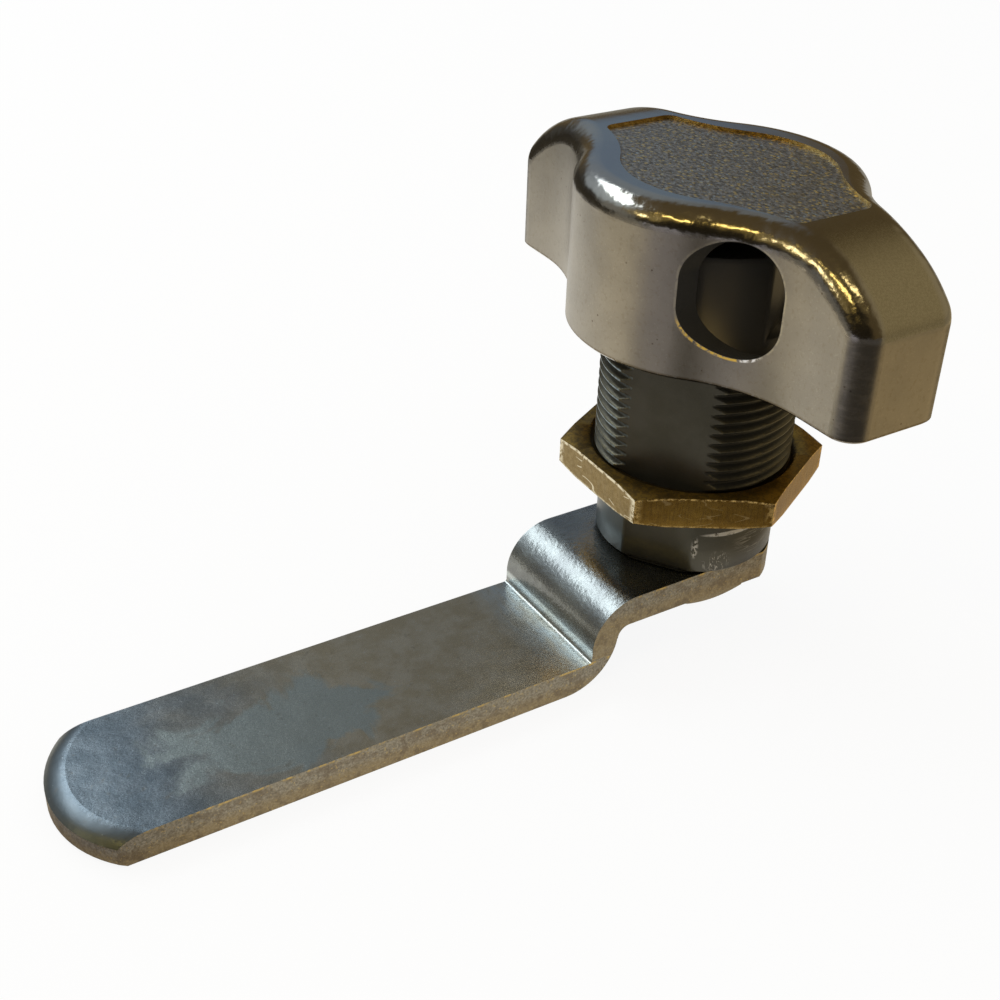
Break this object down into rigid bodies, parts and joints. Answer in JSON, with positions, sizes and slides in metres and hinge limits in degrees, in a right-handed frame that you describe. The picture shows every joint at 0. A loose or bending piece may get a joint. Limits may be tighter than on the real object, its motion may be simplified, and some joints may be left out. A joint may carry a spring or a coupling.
{
  "type": "padlockable quarter-turn cam latch",
  "caption": "Quarter-turn locker latch: a hollow winged knob with a padlock hole turns a cranked cam behind the door through a threaded barrel with flats.",
  "frame": {"origin": "on the barrel's axis in the plane of the door's outer face, where the flange seats", "axes": "+Z out of the door towards the knob, cam arm along -X, the knob's long axis along Y"},
  "size_m": [0.0786, 0.0492, 0.0472],
  "materials": {
    "plated_zinc": "satin",
    "dark_zinc": "satin",
    "brass": "dull",
    "zinc_plated_steel": "satin",
    "spring_steel": "oiled"
  },
  "bodies": {
    "barrel": {"barrel": "dark_zinc", "thrust_washer": "spring_steel"},
    "nut": {"mounting_nut": "brass"},
    "knob": {"knob": "plated_zinc", "spindle": "zinc_plated_steel", "spring_washer": "spring_steel", "retaining_ring": "spring_steel", "cam": "zinc_plated_steel", "cam_screw": "zinc_plated_steel"}
  },
  "joints": [
    {"name": "knob_turn", "type": "hinge", "parent": "barrel", "child": "knob", "pos_m": [0, 0, 0], "axis": [0, 0, 1], "range_deg": [-57, 33]},
    {"name": "nut_travel", "type": "slide", "parent": "barrel", "child": "nut", "axis": [0, 0, 1], "range_m": [0, 0.011]}
  ]
}
